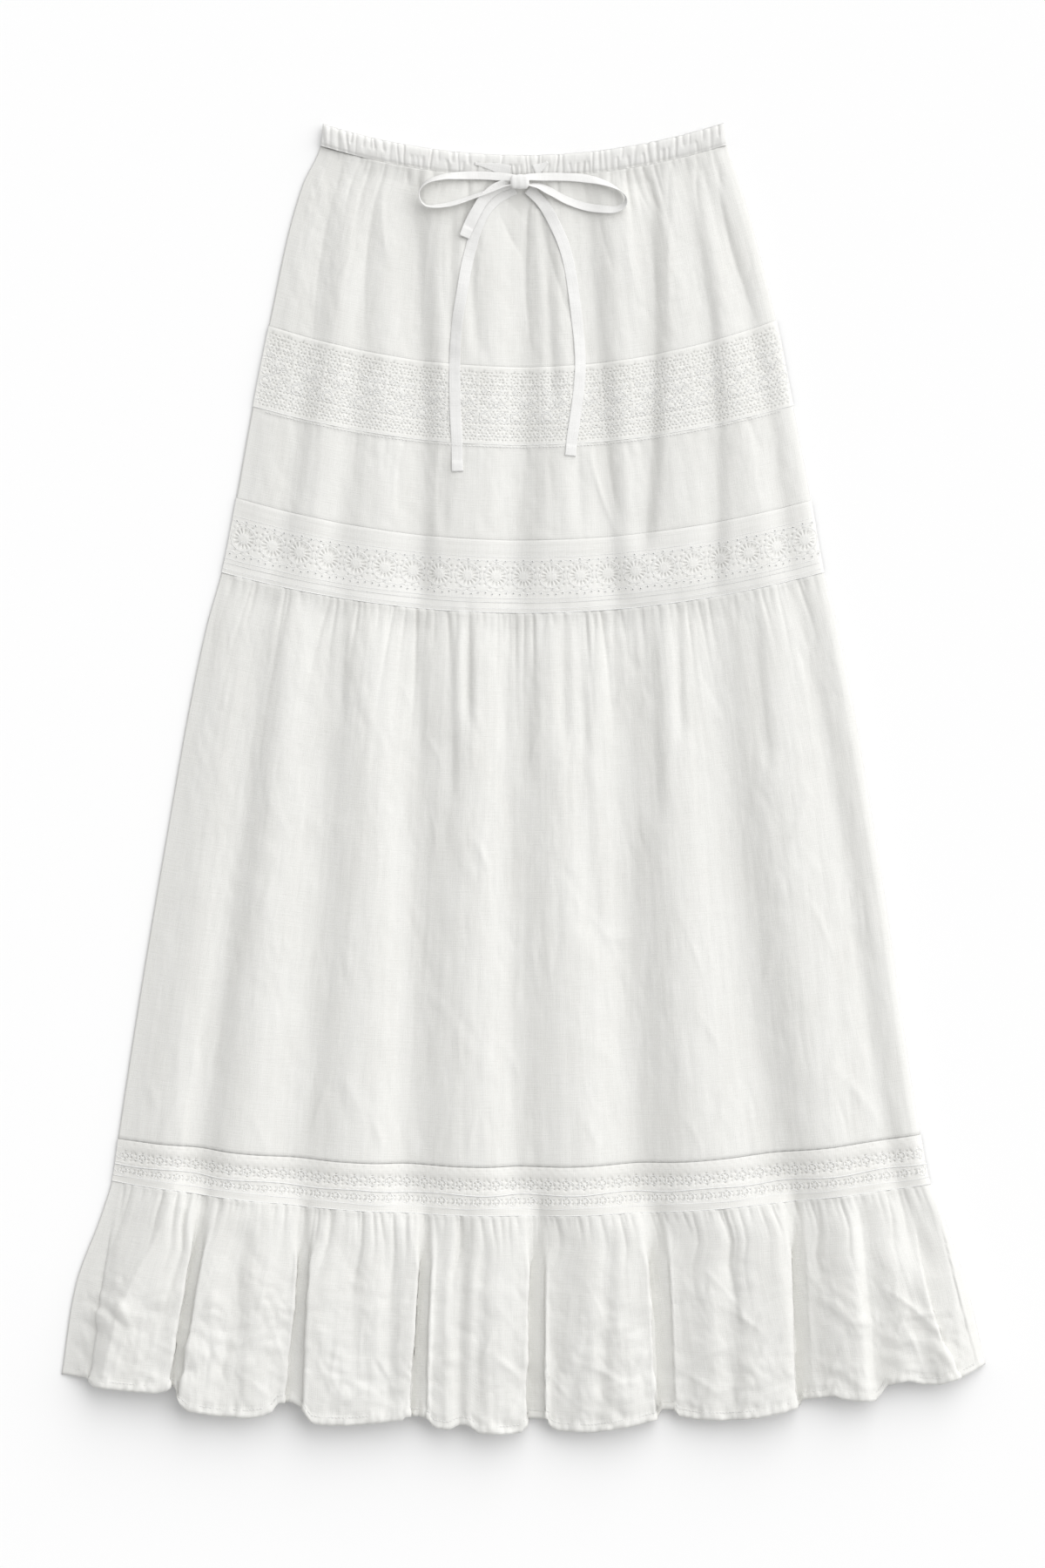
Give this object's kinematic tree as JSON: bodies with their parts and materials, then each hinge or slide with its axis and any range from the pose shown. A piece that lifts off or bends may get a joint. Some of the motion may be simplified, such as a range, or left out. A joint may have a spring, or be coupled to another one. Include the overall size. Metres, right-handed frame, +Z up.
{
  "type": "tiered ruffle maxi skirt",
  "caption": "White cotton maxi skirt laid flat: gathered tiers joined by lace bands, an elastic drawstring waist tied in a bow and a gathered ruffle at the hem.",
  "frame": {"origin": "on the surface that the skirt lies on, under the middle of the skirt's bounding box without the drawstring", "axes": "+X across the skirt to the right of the front as seen from above, +Y up the skirt to its waist, +Z up from the surface, out of the front"},
  "size_m": [0.6878, 0.9725, 0.021],
  "materials": {
    "cotton": "matt slubby plain-weave cotton, softly crumpled",
    "waist_casing": "plain-weave cotton gathered over elastic",
    "floral_lace": "cotton net lace with dense raised scroll embroidery",
    "eyelet_lace": "cotton lace with a row of small flower eyelets between corded edges",
    "tucked_lace": "narrow cotton lace with two embroidered rows between raised tucks",
    "tape": "flat woven cotton tape with a faint sheen"
  },
  "bodies": {
    "root": {"waistband_front": "waist_casing", "waistband_back": "waist_casing", "upper_tier_front": "cotton", "upper_tier_back": "cotton", "middle_tier_front": "cotton", "middle_tier_back": "cotton", "lower_tier_front": "cotton", "lower_tier_back": "cotton", "hem_ruffle_front": "cotton", "hem_ruffle_back": "cotton", "lace_upper_front": "floral_lace", "lace_upper_back": "floral_lace", "lace_middle_front": "eyelet_lace", "lace_middle_back": "eyelet_lace", "lace_lower_front": "tucked_lace", "lace_lower_back": "tucked_lace", "tie_knot": "tape", "tie_loop_left": "tape", "tie_loop_right": "tape", "tie_end_short": "tape", "tie_tail_left": "tape", "tie_tail_right": "tape", "tie_run_left": "tape", "tie_run_right": "tape"}
  },
  "joints": []
}
